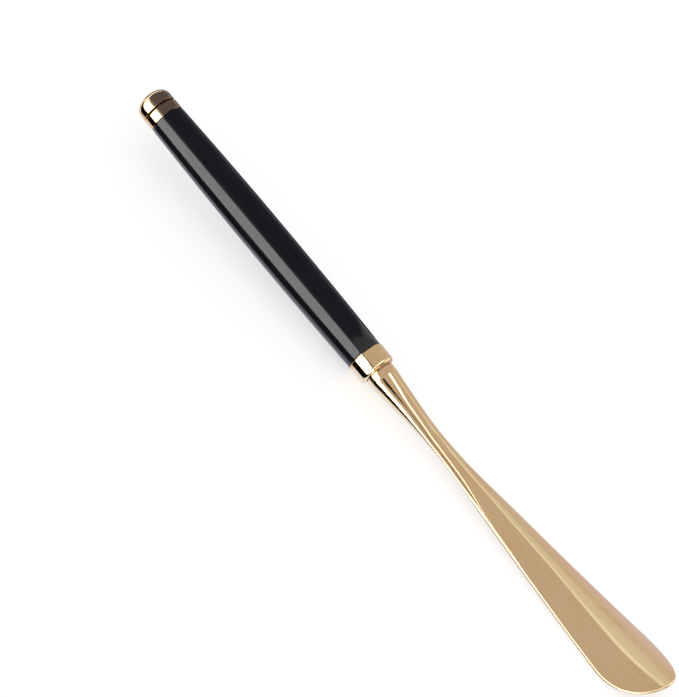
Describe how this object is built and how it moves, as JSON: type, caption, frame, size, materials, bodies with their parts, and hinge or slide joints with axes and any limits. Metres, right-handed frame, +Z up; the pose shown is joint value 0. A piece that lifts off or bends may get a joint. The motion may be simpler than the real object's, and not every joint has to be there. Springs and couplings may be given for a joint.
{
  "type": "long shoehorn",
  "caption": "Long shoehorn with a gilt cast metal blade, a slim round neck, a plain ferrule and a black lacquered turned handle with an end cap.",
  "frame": {"origin": "on the floor below the middle of the shoehorn's length, with the shoehorn lying on its ferrule and its blade's two side rims, hollow side down", "axes": "+X along the shoehorn towards the blade's tip, +Y across the blade, +Z up, on the side of the blade's rounded back"},
  "size_m": [0.3802, 0.038, 0.03],
  "materials": {
    "gilt_metal": "bright plated, polished along its length",
    "black_lacquered_wood": "high gloss black lacquer",
    "zinc_plated_steel": "machined and zinc plated",
    "plain_brass": "machined",
    "dark_fibre": "matt"
  },
  "bodies": {
    "root": {"blade": "gilt_metal", "neck_washer": "dark_fibre", "ferrule": "gilt_metal", "tang": "zinc_plated_steel", "lower_insert": "plain_brass", "handle": "black_lacquered_wood", "upper_insert": "plain_brass", "end_collar": "gilt_metal", "end_washer": "dark_fibre", "end_stud": "zinc_plated_steel", "end_cap": "gilt_metal"}
  },
  "joints": []
}
